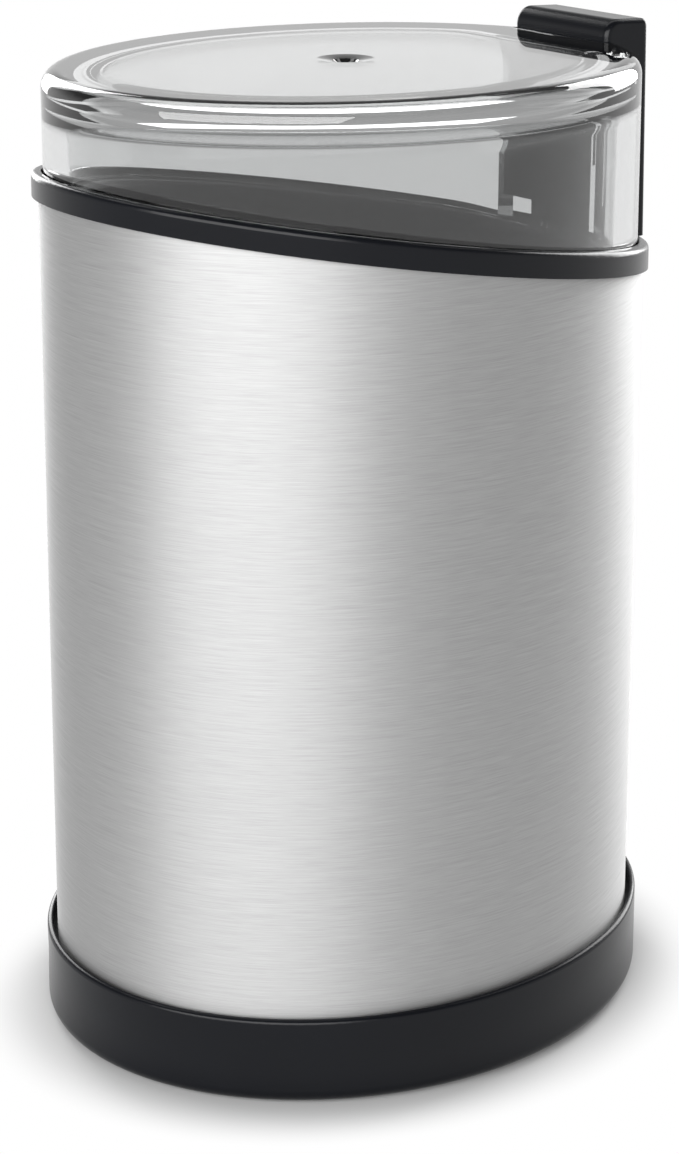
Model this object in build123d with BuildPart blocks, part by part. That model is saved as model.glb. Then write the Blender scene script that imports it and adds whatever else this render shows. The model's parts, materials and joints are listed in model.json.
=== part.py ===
from build123d import *
import os
from math import asin, cos, radians, sin, tan

# Electric blade coffee grinder with an oval steel body, a clear lid and a push button in the lid.
# Millimetres. +Z is up, the origin is on the table under the middle of the oval, +X points to the
# push button and -Y is the plain front of the sleeve.

# Clearances and cuts
CLEARANCE = 0.35        # between pieces that slide past each other
FIT_GAP = 0.05          # around pieces that are pushed together, and running fits
SEAT_GAP = 0.2          # under a piece that rests loosely on another
OVERRUN = 6.0           # how far a cut runs past the face that it opens

# Steel sleeve and the sloping rim
SLEEVE_LONG = 108.0
SLEEVE_SHORT = 92.0
SLEEVE_WALL = 0.6
RIM_HEIGHT = 138.0      # height of the band's lower edge on the centre line
RIM_TILT = 9.6          # degrees, the rim drops towards the button

# Base shell
FOOT_PROUD = 0.5
BASE_HEIGHT = 15.2
BASE_PROUD = 1.8        # how far the base stands outside the sleeve
BASE_FLOOR = 2.2
BASE_LEDGE = 3.2        # the inside of the base lies this far inside the sleeve's face
SLEEVE_SEAT_DEPTH = 2.8
BASE_GROOVE = 0.9       # open groove between the sleeve and the base's rim
BASE_BOTTOM_RADIUS = 2.4
BASE_TOP_RADIUS = 0.7
VENT_COUNT = 5
VENT_LENGTH = 26.0
VENT_WIDTH = 3.0
VENT_PITCH = 7.0

# Rubber feet
FOOT_DIAMETER = 10.0
FOOT_RECESS = 1.2
FOOT_INSET = 10.0
FOOT_ANGLE = 38.0
FOOT_EDGE = 0.4

# Base screws and the columns that they pass through
SCREW_ANGLE = 66.0
SCREW_DIAMETER = 3.0
SCREW_HEAD_DIAMETER = 6.0
SCREW_HEAD_HEIGHT = 2.2
SCREW_GRIP = 12.0       # length of thread in the housing's boss
SCREW_RECESS = 3.4
BOSS_DIAMETER = 8.0
BOSS_HEIGHT = 16.0

# Cord gland in the back wall of the base
GLAND_BORE = 5.8
GLAND_WALL = 1.0
GLAND_FLANGE = 1.0      # thickness of the flange, and how far it stands out round the body
GLAND_SINK = 0.2        # the flange lies this far below the base's face
GLAND_LENGTH = 6.4

# Inner housing
HOUSING_WALL = 1.6
HOUSING_GAP = 0.3
SHELF_THICK = 2.0
DECK_THICK = 3.0
DECK_BORE = 20.0

# Grinding chamber: an oval with a flat side towards the button
CHAMBER_INSET = 8.0     # its wall lies this far inside the sleeve's face
CHAMBER_FLAT = 5.0      # how far the flat side is cut into the oval's end
CHAMBER_CORNER = 13.0
FUNNEL_DEPTH = 23.9     # from the rim's height to the top of the bowl
FUNNEL_WALL = 1.8

# Rim collar
BAND_HEIGHT = 4.3
BAND_PROUD = 1.15
BAND_RADIUS = 0.9
LEDGE_WIDTH = 1.65      # width of the band's top, outside the lid
LID_SEAT_DROP = 1.5     # the lid stands this far below the band's top
COLLAR_DECK = 3.0
COLLAR_SKIRT = 4.0
SLEEVE_GROOVE = 1.5     # how far the sleeve reaches up into the band
CHAMBER_LIP_RADIUS = 1.2

# Grinding bowl, its gasket and the seal round the shaft
BOWL_DEPTH = 23.1
BOWL_WALL = 0.6
BOWL_RADIUS = 9.0       # inside radius between wall and floor
BOWL_FLANGE = 1.6
GASKET_THICK = 1.0
HUB_HEIGHT = 4.0
HUB_BASE_DIAMETER = 28.0
HUB_TOP_DIAMETER = 19.0
SEAL_NECK_DIAMETER = 12.0
SEAL_FLANGE_DIAMETER = 16.0
SEAL_FLANGE = 1.4

# Rotor
SHAFT_DIAMETER = 6.0
SHAFT_TAIL = 2.0        # below the lower bearing
ARMATURE_DIAMETER = 27.0
ARMATURE_SLOTS = 12
ARMATURE_SLOT_WIDTH = 1.6
ARMATURE_SLOT_DEPTH = 5.0
WINDING_DIAMETER = 24.0
WINDING_BORE = 9.0
WINDING_HEIGHT = 5.5
WINDING_RADIUS = 2.2
COMMUTATOR_DIAMETER = 14.0
COMMUTATOR_HEIGHT = 8.0
COMMUTATOR_BARS = 12
COMMUTATOR_SLIT = 0.5
COMMUTATOR_SLIT_DEPTH = 0.8
WASHER_DIAMETER = 10.0
WASHER_THICK = 0.7

# Blade, its spacer and nut
BLADE_SPAN = 62.0
BLADE_WIDTH = 11.0
BLADE_THICK = 1.5
BLADE_CENTRE = 18.0     # length of the flat middle
BLADE_BEND = 14.0       # degrees, one wing up and the other down
BLADE_BEVEL = 3.0       # width of the ground edge, and below it how deep it is cut
BLADE_EDGE = 1.0
BLADE_TIP_RADIUS = 3.0
SPACER_DIAMETER = 10.0
SPACER_HEIGHT = 4.4
NUT_WIDTH = 10.0
NUT_HEIGHT = 5.0
NUT_DOME = 1.2

# Stator, bridges, bearings and their fasteners
AIR_GAP = 0.5
STATOR_LONG = 54.0
STATOR_SHORT = 48.0
STATOR_HEIGHT = 22.0
STATOR_CORNER = 9.0
COIL_WIDTH = 5.4        # one side of a field coil, along X
COIL_DEPTH = 5.8        # along Y
COIL_INNER = 25.6       # clear width inside the coil
COIL_OVERHANG = 5.6
COIL_RADIUS = 2.0
BRIDGE_THICK = 3.0
BRIDGE_LONG = 66.0
BRIDGE_SHORT = 30.0
BRIDGE_CORNER = 5.0
LEG_LONG = 8.0
LEG_WIDE = 12.0
UPPER_LEG = 8.0
LOWER_LEG = 17.0
BOLT_DIAMETER = 4.0
BOLT_HEAD_DIAMETER = 7.0
BOLT_HEAD_HEIGHT = 2.8
MOTOR_NUT_WIDTH = 7.0
MOTOR_NUT_HEIGHT = 3.0
BEARING_DIAMETER = 12.0
BEARING_HEIGHT = 7.0
MOUNT_DIAMETER = 9.0
MOUNT_HEIGHT = 5.0
MOUNT_PITCH_X = 54.0
MOUNT_PITCH_Y = 19.0

# Brush gear
BRUSH_WIDE = 5.0
BRUSH_TALL = 6.0
BRUSH_LONG = 11.0
HOLDER_WALL = 1.0
HOLDER_LONG = 17.0
HOLDER_SETBACK = 2.0    # distance of the holder's mouth from the commutator
BRUSH_SPRING_WIRE = 0.5
BRUSH_SPRING_DIAMETER = 4.2
BRUSH_SPRING_TURNS = 4
PAD_LONG = 10.0

# Lid
LID_INSET = 0.8         # the lid's wall lies this far inside the sleeve's face
LID_WALL = 4.4
LID_HEIGHT = 29.3       # height of the lid's top above the band's lower edge on the centre line
LID_ROOF = 3.2
LID_TOP_RADIUS = 3.0
LID_INNER_RADIUS = 6.5
LID_CAVITY_CORNER = 10.0
NOTCH_WALL = 3.5
DISH_DIAMETER = 9.4
DISH_DEPTH = 0.35
GATE_DIAMETER = 4.6     # the mark of the moulding gate in the dish
GATE_FLOOR_DIAMETER = 2.8
GATE_DEPTH = 0.8
GUIDE_WIDTH = 2.0
GUIDE_PROUD = 1.0
GUIDE_LENGTH = 12.0
GUIDE_DROP = 9.0        # top of the guide rib below the lid's top
GUIDE_SETBACK = 1.2     # of the rib from the notch's inner face

# Push button
BUTTON_WIDTH = 25.0
BUTTON_PROUD = 4.0      # above the lid
BUTTON_TRAVEL = 3.0
BUTTON_TOP_LONG = 9.9
BUTTON_TOP_FALL = 0.5   # the top slopes down this much towards its outer edge
BUTTON_EDGE = 1.1
BUTTON_CROWN = 3.0      # radius of the top's inner edge
BUTTON_WALL = 1.8
BUTTON_END_WALL = 2.5
BUTTON_ROOF = 3.0
PLATE_THICK = 2.4
PLATE_REACH = 1.2       # the plate hangs this far below the band's top edge
LEG_PIN_DIAMETER = 3.0

# Switch plunger and its spring
PLUNGER_DIAMETER = 3.6
PLUNGER_FLANGE_DIAMETER = 4.6
PLUNGER_FLANGE = 1.5
PLUNGER_SINK = 0.6      # its top lies this far below the collar's deck
STEM_DIAMETER = 3.0
STEM_TIP_RADIUS = 1.3
STEM_REACH = 3.0        # below the housing's shelf
SPRING_WIRE = 0.5
SPRING_DIAMETER = 4.3   # at the middle of the wire
SPRING_TURNS = 6

# Micro-switch
SWITCH_LONG = 20.0
SWITCH_WIDE = 6.4
SWITCH_TALL = 10.0
SWITCH_EDGE = 0.5
SWITCH_SCREW_PITCH = 9.5
SWITCH_SCREW_DIAMETER = 2.2
SWITCH_SCREW_HEAD = 4.0
SWITCH_SCREW_HEAD_HEIGHT = 1.2
SWITCH_BOSS_DIAMETER = 5.0
LEVER_ARM = 9.0         # from the lever's pin to the plunger's stem
LEVER_LONG = 16.0
LEVER_WIDE = 2.7
LEVER_THICK = 0.4
LEVER_NECK = 5.6        # from the pin to where the lever widens under the stem
LEVER_REST = 18.5       # degrees above level
LEVER_GAP = 0.25        # under the stem
LEVER_EYE_DIAMETER = 2.2
PIN_DIAMETER = 1.2
PIVOT_HEIGHT = 1.5
EAR_THICK = 0.6
EAR_LENGTH = 3.0
KEY_ARM = 3.6           # from the lever's pin to the switch's own button
KEY_DIAMETER = 2.2
KEY_SINK = 2.0
KEY_GAP = 0.15
TERMINAL_THICK = 0.5
TERMINAL_WIDE = 3.2
TERMINAL_LONG = 5.0
TERMINAL_PITCH = 7.3

# Heights and places worked out from the sizes above
base_top = FOOT_PROUD + BASE_HEIGHT
floor_top = FOOT_PROUD + BASE_FLOOR
seat_z = base_top - SLEEVE_SEAT_DEPTH
lid_seat = BAND_HEIGHT - LID_SEAT_DROP
bowl_rim_z = RIM_HEIGHT - FUNNEL_DEPTH
shelf_top = bowl_rim_z - BOWL_WALL
shelf_z = shelf_top - SHELF_THICK
bowl_floor_z = bowl_rim_z - BOWL_DEPTH
housing_inset = SLEEVE_WALL + HOUSING_GAP
housing_inner = housing_inset + HOUSING_WALL
hub_top_z = bowl_floor_z + HUB_HEIGHT
deck_top = bowl_floor_z - BOWL_WALL - SCREW_HEAD_HEIGHT - HUB_HEIGHT
deck_z = deck_top - DECK_THICK
bridge_top = deck_z - MOUNT_HEIGHT
stator_top = bridge_top - BRIDGE_THICK - UPPER_LEG
stator_z = stator_top - STATOR_HEIGHT
lower_bridge_top = stator_z - LOWER_LEG
lower_bridge_z = lower_bridge_top - BRIDGE_THICK
upper_bearing_z = bridge_top - BRIDGE_THICK / 2 - BEARING_HEIGHT / 2
lower_bearing_z = lower_bridge_top - BRIDGE_THICK / 2 - BEARING_HEIGHT / 2
commutator_z = lower_bearing_z + BEARING_HEIGHT + WASHER_THICK + FIT_GAP
brush_z = lower_bridge_top + HOLDER_WALL + BRUSH_TALL / 2 + FIT_GAP + WASHER_THICK
spacer_z = hub_top_z + SEAL_FLANGE + CLEARANCE
blade_z = spacer_z + SPACER_HEIGHT
nut_z = blade_z + BLADE_THICK
shaft_top = nut_z + NUT_HEIGHT / 2
lid_top = RIM_HEIGHT + LID_HEIGHT
plunger_x = SLEEVE_LONG / 2 - housing_inner - SPRING_DIAMETER / 2 - SPRING_WIRE / 2 - FIT_GAP * 2
button_inner = plunger_x - LEG_PIN_DIAMETER / 2
notch_x = button_inner - CLEARANCE
bolt_x = STATOR_LONG / 2 - LEG_LONG / 2
tall = lid_top + SLEEVE_LONG
STANDING = (Align.CENTER, Align.CENTER, Align.MIN)


def oval(outset):
    """Half lengths of the oval at a distance outside the sleeve's face."""
    return SLEEVE_LONG / 2 + outset, SLEEVE_SHORT / 2 + outset


def oval_point(outset, angle):
    """A point on that oval, by its angle in degrees."""
    long_half, short_half = oval(outset)
    return long_half * cos(radians(angle)), short_half * sin(radians(angle))


def four_points(outset, angle):
    """The same point in all four quarters of the oval."""
    x, y = oval_point(outset, angle)
    return [(x, y), (-x, y), (-x, -y), (x, -y)]


def rim_z(x, rise):
    """Height of the sloping rim over a point, at a rise above the band's lower edge."""
    return RIM_HEIGHT + rise - x * tan(radians(RIM_TILT))


def rim_plane(rise):
    """Plane of the sloping rim, at a rise above the band's lower edge."""
    slope = radians(RIM_TILT)
    return Plane(origin=(0, 0, RIM_HEIGHT + rise), x_dir=(cos(slope), 0, -sin(slope)),
                 z_dir=(sin(slope), 0, cos(slope)))


def rim_slice(outset, low, high):
    """An oval slice of the body between two planes of the rim."""
    with BuildPart(mode=Mode.PRIVATE) as piece:
        with BuildSketch():
            Ellipse(*oval(outset))
        extrude(amount=tall)
        split(bisect_by=rim_plane(high), keep=Keep.BOTTOM)
        split(bisect_by=rim_plane(low), keep=Keep.TOP)
    return piece.part


def flat_oval(long_half, short_half, flat, corner):
    """An oval with one flat side towards the button, drawn into the open sketch."""
    Ellipse(long_half, short_half)
    with Locations((flat, 0)):
        Rectangle(long_half, short_half * 2, align=(Align.MIN, Align.CENTER), mode=Mode.SUBTRACT)
    fillet(vertices(), corner)


def chamber(outset):
    """The grinding chamber's outline, at a distance outside its wall."""
    long_half, short_half = oval(outset - CHAMBER_INSET)
    flat_oval(long_half, short_half, long_half - CHAMBER_FLAT, CHAMBER_CORNER + outset)


def chamber_block(outset, low, high, radius):
    """A block of the chamber's outline with a rounded lower edge."""
    with BuildPart(mode=Mode.PRIVATE) as piece:
        with BuildSketch(Plane.XY.offset(low)):
            chamber(outset)
        extrude(amount=high - low)
        fillet(piece.faces().sort_by(Axis.Z)[0].edges(), radius)
    return piece.part


def coil_spring(diameter, wire, turns, length, plane):
    """A wire spring along a plane's normal, its end turns resting on flat faces."""
    rise = length - wire - FIT_GAP * 2
    start = plane.offset(wire / 2 + FIT_GAP)
    with BuildPart(mode=Mode.PRIVATE) as piece:
        with BuildLine():
            path = Helix(rise / turns, rise, diameter / 2, center=start.origin, direction=start.z_dir)
        with BuildSketch(Plane(origin=path @ 0, z_dir=path % 0)):
            Circle(wire / 2)
        sweep(path=path, is_frenet=True)
    return piece.part


def finish(piece, name):
    """Label a finished piece and write it."""
    piece.part.label = name
    export_step(piece.part, f"parts/{name}.step")


os.makedirs("parts", exist_ok=True)
foot_places = four_points(BASE_PROUD - FOOT_INSET, FOOT_ANGLE)
screw_places = four_points(-housing_inner - BOSS_DIAMETER / 2, SCREW_ANGLE)
column_diameter = SCREW_HEAD_DIAMETER + CLEARANCE * 2 + BASE_FLOOR
head_recess_diameter = SCREW_HEAD_DIAMETER + CLEARANCE * 2

# Base shell: an oval tray that takes the sleeve in a rebate
gland_radius = GLAND_BORE / 2 + GLAND_WALL
gland_z = floor_top + gland_radius + GLAND_FLANGE / 2
gland_plane = Plane(origin=(0, SLEEVE_SHORT / 2 + BASE_PROUD, gland_z), x_dir=(1, 0, 0), z_dir=(0, 1, 0))
with BuildPart() as base_shell:
    with BuildSketch(Plane.XY.offset(FOOT_PROUD)):
        Ellipse(*oval(BASE_PROUD))
    extrude(amount=BASE_HEIGHT)
    fillet(base_shell.faces().sort_by(Axis.Z)[0].edges(), BASE_BOTTOM_RADIUS)
    fillet(base_shell.faces().sort_by(Axis.Z)[-1].edges(), BASE_TOP_RADIUS)
    with BuildSketch(Plane.XY.offset(seat_z)):
        Ellipse(*oval(BASE_GROOVE))
    extrude(amount=SLEEVE_SEAT_DEPTH, mode=Mode.SUBTRACT)
    with BuildSketch(Plane.XY.offset(floor_top)):
        Ellipse(*oval(-BASE_LEDGE))
    extrude(amount=BASE_HEIGHT, mode=Mode.SUBTRACT)
    with BuildSketch(Plane.XY.offset(floor_top)):
        with Locations(*screw_places):
            Circle(column_diameter / 2)
    extrude(amount=seat_z - floor_top)
    with Locations(Plane.XY.offset(FOOT_PROUD)):
        with Locations(*screw_places):
            Cylinder(head_recess_diameter / 2, SCREW_RECESS, align=STANDING, mode=Mode.SUBTRACT)
            Cylinder(SCREW_DIAMETER / 2 + FIT_GAP, BASE_HEIGHT, align=STANDING, mode=Mode.SUBTRACT)
        with Locations(*foot_places):
            Cylinder(FOOT_DIAMETER / 2, FOOT_RECESS, align=STANDING, mode=Mode.SUBTRACT)
    with BuildSketch(Plane.XY.offset(FOOT_PROUD)):
        with GridLocations(0, VENT_PITCH, 1, VENT_COUNT):
            SlotOverall(VENT_LENGTH, VENT_WIDTH)
    extrude(amount=BASE_FLOOR, mode=Mode.SUBTRACT)
    with BuildSketch(gland_plane):
        Circle(gland_radius + GLAND_FLANGE + FIT_GAP)
    extrude(amount=-GLAND_FLANGE - GLAND_SINK, mode=Mode.SUBTRACT)
    with BuildSketch(gland_plane):
        Circle(gland_radius + FIT_GAP)
    extrude(amount=-GLAND_LENGTH - OVERRUN, mode=Mode.SUBTRACT)
finish(base_shell, "base_shell")

# Rubber feet: four flat pads let into the base
with BuildPart() as rubber_feet:
    with BuildSketch():
        with Locations(*foot_places):
            Circle(FOOT_DIAMETER / 2)
    extrude(amount=FOOT_PROUD + FOOT_RECESS)
    fillet(rubber_feet.edges().group_by(Axis.Z)[0], FOOT_EDGE)
finish(rubber_feet, "rubber_feet")

# Base screws: up through the base's columns into the housing's bosses
head_seat_z = FOOT_PROUD + SCREW_RECESS
with BuildPart() as base_screws:
    with BuildSketch(Plane.XY.offset(head_seat_z - SCREW_HEAD_HEIGHT)):
        with Locations(*screw_places):
            Circle(SCREW_HEAD_DIAMETER / 2)
    extrude(amount=SCREW_HEAD_HEIGHT)
    with BuildSketch(Plane.XY.offset(head_seat_z - SCREW_HEAD_HEIGHT)):
        with Locations(*screw_places):
            Rectangle(SCREW_HEAD_DIAMETER * 2 / 3, SCREW_HEAD_HEIGHT / 3)
            Rectangle(SCREW_HEAD_HEIGHT / 3, SCREW_HEAD_DIAMETER * 2 / 3)
    extrude(amount=SCREW_HEAD_HEIGHT / 2, mode=Mode.SUBTRACT)
    with BuildSketch(Plane.XY.offset(head_seat_z)):
        with Locations(*screw_places):
            Circle(SCREW_DIAMETER / 2)
    extrude(amount=seat_z - head_seat_z + SCREW_GRIP)
finish(base_screws, "base_screws")

# Cord gland: a flanged bush in the base's back wall
with BuildPart() as cord_gland:
    with BuildSketch(gland_plane.offset(-GLAND_SINK)):
        Circle(gland_radius + GLAND_FLANGE)
    extrude(amount=-GLAND_FLANGE)
    with BuildSketch(gland_plane.offset(-GLAND_SINK - GLAND_FLANGE)):
        Circle(gland_radius)
    extrude(amount=GLAND_FLANGE - GLAND_LENGTH)
    with BuildSketch(gland_plane.offset(-GLAND_SINK)):
        Circle(GLAND_BORE / 2)
    extrude(amount=-GLAND_LENGTH, mode=Mode.SUBTRACT)
finish(cord_gland, "cord_gland")

# Steel sleeve: a rolled oval tube, cut on the slope of the rim
with BuildPart() as steel_sleeve:
    with BuildSketch(Plane.XY.offset(seat_z)):
        Ellipse(*oval(0))
        Ellipse(*oval(-SLEEVE_WALL), mode=Mode.SUBTRACT)
    extrude(amount=tall)
    split(bisect_by=rim_plane(SLEEVE_GROOVE - FIT_GAP), keep=Keep.BOTTOM)
finish(steel_sleeve, "steel_sleeve")

# Inner housing: an oval frame with a shelf for the bowl and a deck for the motor
wall_long, wall_short = oval(-housing_inner)
switch_outer = wall_long * cos(asin(SWITCH_LONG / 2 / wall_short)) - CLEARANCE
switch_x = switch_outer - SWITCH_WIDE / 2
stem_bottom = shelf_z - STEM_REACH
lever_rise = LEVER_ARM * tan(radians(LEVER_REST)) + LEVER_THICK / 2 / cos(radians(LEVER_REST))
pivot_z = stem_bottom - LEVER_GAP - lever_rise
switch_top = pivot_z - PIVOT_HEIGHT
switch_screw_z = switch_top - SWITCH_TALL / 2
switch_plane = Plane(origin=(switch_outer, 0, switch_screw_z), x_dir=(0, 1, 0), z_dir=(1, 0, 0))
boss_length = SLEEVE_LONG / 2 - housing_inset - HOUSING_WALL / 2 - switch_outer
with BuildPart() as inner_housing:
    with BuildSketch(Plane.XY.offset(seat_z)):
        Ellipse(*oval(-housing_inset))
    extrude(amount=tall)
    split(bisect_by=rim_plane(-COLLAR_SKIRT), keep=Keep.BOTTOM)
    with BuildSketch(Plane.XY.offset(seat_z)):
        Ellipse(*oval(-housing_inner))
    extrude(amount=deck_z - seat_z, mode=Mode.SUBTRACT)
    with BuildSketch(Plane.XY.offset(deck_top)):
        Ellipse(*oval(-housing_inner))
    extrude(amount=shelf_z - deck_top, mode=Mode.SUBTRACT)
    with BuildSketch(Plane.XY.offset(shelf_top)):
        Ellipse(*oval(-housing_inner))
    extrude(amount=tall, mode=Mode.SUBTRACT)
    with BuildSketch(Plane.XY.offset(shelf_z)):
        chamber(BOWL_WALL + CLEARANCE)
    extrude(amount=SHELF_THICK, mode=Mode.SUBTRACT)
    with BuildSketch(Plane.XY.offset(seat_z)):
        with Locations(*screw_places):
            Circle(BOSS_DIAMETER / 2)
    extrude(amount=BOSS_HEIGHT)
    with BuildSketch(Plane.XY.offset(seat_z)):
        with Locations(*screw_places):
            Circle(SCREW_DIAMETER / 2)
    extrude(amount=SCREW_GRIP, mode=Mode.SUBTRACT)
    with BuildSketch(Plane.XY.offset(deck_z)):
        Circle(DECK_BORE / 2)
        with GridLocations(MOUNT_PITCH_X, MOUNT_PITCH_Y, 2, 2):
            Circle(BOLT_DIAMETER / 2 + FIT_GAP)
    extrude(amount=DECK_THICK, mode=Mode.SUBTRACT)
    with BuildSketch(Plane.XY.offset(shelf_z)):
        with Locations((plunger_x, 0)):
            Circle(STEM_DIAMETER / 2 + FIT_GAP * 2)
    extrude(amount=SHELF_THICK, mode=Mode.SUBTRACT)
    with BuildSketch(switch_plane):
        with GridLocations(SWITCH_SCREW_PITCH, 0, 2, 1):
            Circle(SWITCH_BOSS_DIAMETER / 2)
    extrude(amount=boss_length)
    with BuildSketch(switch_plane):
        with GridLocations(SWITCH_SCREW_PITCH, 0, 2, 1):
            Circle(SWITCH_SCREW_DIAMETER / 2)
    extrude(amount=boss_length, mode=Mode.SUBTRACT)
finish(inner_housing, "inner_housing")

# Rim collar: the band, the lid's seat and the chamber's upper wall in one moulding
band = rim_slice(BAND_PROUD, 0, BAND_HEIGHT)
lid_rebate = rim_slice(BAND_PROUD - LEDGE_WIDTH, lid_seat, BAND_HEIGHT + OVERRUN)
skirt = rim_slice(-housing_inset, -COLLAR_SKIRT, 0)
skirt_inside = rim_slice(-housing_inner, -COLLAR_SKIRT, lid_seat - COLLAR_DECK)
groove_outer = rim_slice(FIT_GAP, -COLLAR_SKIRT, SLEEVE_GROOVE)
groove_inner = rim_slice(-SLEEVE_WALL - FIT_GAP, -COLLAR_SKIRT - OVERRUN, SLEEVE_GROOVE + OVERRUN)
funnel_z = bowl_rim_z + GASKET_THICK
with BuildPart() as funnel:
    with BuildSketch(Plane.XY.offset(funnel_z)):
        chamber(FUNNEL_WALL)
    extrude(amount=tall)
    split(bisect_by=rim_plane(lid_seat), keep=Keep.BOTTOM)
with BuildPart() as sleeve_groove:
    add(groove_outer)
    add(groove_inner, mode=Mode.SUBTRACT)
with BuildPart() as rim_collar:
    add(band)
    fillet(rim_collar.edges().group_by(Axis.Z)[-1], BAND_RADIUS)
    add(lid_rebate, mode=Mode.SUBTRACT)
    add(skirt)
    add(skirt_inside, mode=Mode.SUBTRACT)
    add(funnel.part)
    add(sleeve_groove.part, mode=Mode.SUBTRACT)
    with BuildSketch(Plane.XY.offset(funnel_z)):
        chamber(0)
    extrude(amount=tall, mode=Mode.SUBTRACT)
    seat_face = rim_collar.faces().filter_by(rim_plane(0)).sort_by(Axis((0, 0, 0), rim_plane(0).z_dir))[-2]
    fillet(seat_face.inner_wires()[0].edges(), CHAMBER_LIP_RADIUS)
    with BuildSketch(Plane.XY.offset(shelf_top)):
        with Locations((plunger_x, 0)):
            Circle(PLUNGER_DIAMETER / 2 + FIT_GAP * 2)
    extrude(amount=tall, mode=Mode.SUBTRACT)
finish(rim_collar, "rim_collar")

# Grinding bowl: a pressed steel cup with a raised hub
bowl_outside = chamber_block(BOWL_WALL, bowl_floor_z - BOWL_WALL, bowl_rim_z, BOWL_RADIUS + BOWL_WALL)
bowl_inside = chamber_block(0, bowl_floor_z, bowl_rim_z + OVERRUN, BOWL_RADIUS)
with BuildPart() as grinding_bowl:
    add(bowl_outside)
    with BuildSketch(Plane.XY.offset(shelf_top)):
        chamber(BOWL_WALL + BOWL_FLANGE)
    extrude(amount=BOWL_WALL)
    add(bowl_inside, mode=Mode.SUBTRACT)
    with Locations((0, 0, bowl_floor_z)):
        Cone(HUB_BASE_DIAMETER / 2, HUB_TOP_DIAMETER / 2, HUB_HEIGHT, align=STANDING)
    with Locations((0, 0, bowl_floor_z - BOWL_WALL)):
        Cone(HUB_BASE_DIAMETER / 2 - BOWL_WALL, HUB_TOP_DIAMETER / 2 - BOWL_WALL, HUB_HEIGHT,
             align=STANDING, mode=Mode.SUBTRACT)
    with BuildSketch(Plane.XY.offset(bowl_floor_z)):
        Circle(SEAL_NECK_DIAMETER / 2)
    extrude(amount=HUB_HEIGHT, mode=Mode.SUBTRACT)
finish(grinding_bowl, "grinding_bowl")

# Bowl gasket: a flat ring between the bowl's flange and the collar
with BuildPart() as bowl_gasket:
    with BuildSketch(Plane.XY.offset(bowl_rim_z)):
        chamber(FUNNEL_WALL)
    extrude(amount=GASKET_THICK)
    with BuildSketch(Plane.XY.offset(bowl_rim_z)):
        chamber(0)
    extrude(amount=GASKET_THICK, mode=Mode.SUBTRACT)
finish(bowl_gasket, "bowl_gasket")

# Shaft seal: a rubber bush that grips the edge of the bowl's hub
shaft_bore = SHAFT_DIAMETER / 2 + FIT_GAP
seal_neck = SEAL_NECK_DIAMETER / 2
seal_rim = SEAL_FLANGE_DIAMETER / 2
seal_low = hub_top_z - BOWL_WALL - SEAL_FLANGE
seal_high = hub_top_z + SEAL_FLANGE
with BuildPart() as shaft_seal:
    with BuildSketch(Plane.XZ):
        with BuildLine():
            Polyline((shaft_bore, seal_low), (seal_rim, seal_low), (seal_rim, hub_top_z - BOWL_WALL),
                     (seal_neck, hub_top_z - BOWL_WALL), (seal_neck, hub_top_z), (seal_rim, hub_top_z),
                     (seal_neck, seal_high), (shaft_bore, seal_high), close=True)
        make_face()
    revolve(axis=Axis.Z)
finish(shaft_seal, "shaft_seal")

# Motor shaft
shaft_z = lower_bearing_z - SHAFT_TAIL
with BuildPart() as motor_shaft:
    with BuildSketch(Plane.XY.offset(shaft_z)):
        Circle(SHAFT_DIAMETER / 2)
    extrude(amount=shaft_top - shaft_z)
    chamfer(motor_shaft.edges(), SHAFT_DIAMETER / 12)
finish(motor_shaft, "motor_shaft")

# Armature core: slotted laminations on the shaft
with BuildPart() as armature_core:
    with BuildSketch(Plane.XY.offset(stator_z)):
        Circle(ARMATURE_DIAMETER / 2)
        with PolarLocations(ARMATURE_DIAMETER / 2, ARMATURE_SLOTS):
            SlotOverall(ARMATURE_SLOT_DEPTH * 2, ARMATURE_SLOT_WIDTH, mode=Mode.SUBTRACT)
        Circle(SHAFT_DIAMETER / 2, mode=Mode.SUBTRACT)
    extrude(amount=STATOR_HEIGHT)
finish(armature_core, "armature_core")

# Armature windings: the end turns above and below the core
with BuildPart() as armature_windings:
    for winding_z in (stator_top, stator_z - WINDING_HEIGHT):
        with BuildSketch(Plane.XY.offset(winding_z)):
            Circle(WINDING_DIAMETER / 2)
            Circle(WINDING_BORE / 2, mode=Mode.SUBTRACT)
        extrude(amount=WINDING_HEIGHT)
    fillet(armature_windings.edges().filter_by(GeomType.CIRCLE).group_by(Axis.Z)[-1], WINDING_RADIUS)
    fillet(armature_windings.edges().filter_by(GeomType.CIRCLE).group_by(Axis.Z)[0], WINDING_RADIUS)
finish(armature_windings, "armature_windings")

# Commutator: copper bars with slits between them
with BuildPart() as commutator:
    with BuildSketch(Plane.XY.offset(commutator_z)):
        Circle(COMMUTATOR_DIAMETER / 2)
        with PolarLocations(COMMUTATOR_DIAMETER / 2, COMMUTATOR_BARS):
            Rectangle(COMMUTATOR_SLIT_DEPTH * 2, COMMUTATOR_SLIT, mode=Mode.SUBTRACT)
        Circle(SHAFT_DIAMETER / 2, mode=Mode.SUBTRACT)
    extrude(amount=COMMUTATOR_HEIGHT)
finish(commutator, "commutator")

# Thrust washers: on the shaft, next to each bearing
with BuildPart() as thrust_washers:
    for washer_z in (lower_bearing_z + BEARING_HEIGHT + FIT_GAP, upper_bearing_z - FIT_GAP - WASHER_THICK):
        with BuildSketch(Plane.XY.offset(washer_z)):
            Circle(WASHER_DIAMETER / 2)
            Circle(SHAFT_DIAMETER / 2, mode=Mode.SUBTRACT)
        extrude(amount=WASHER_THICK)
finish(thrust_washers, "thrust_washers")

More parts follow.
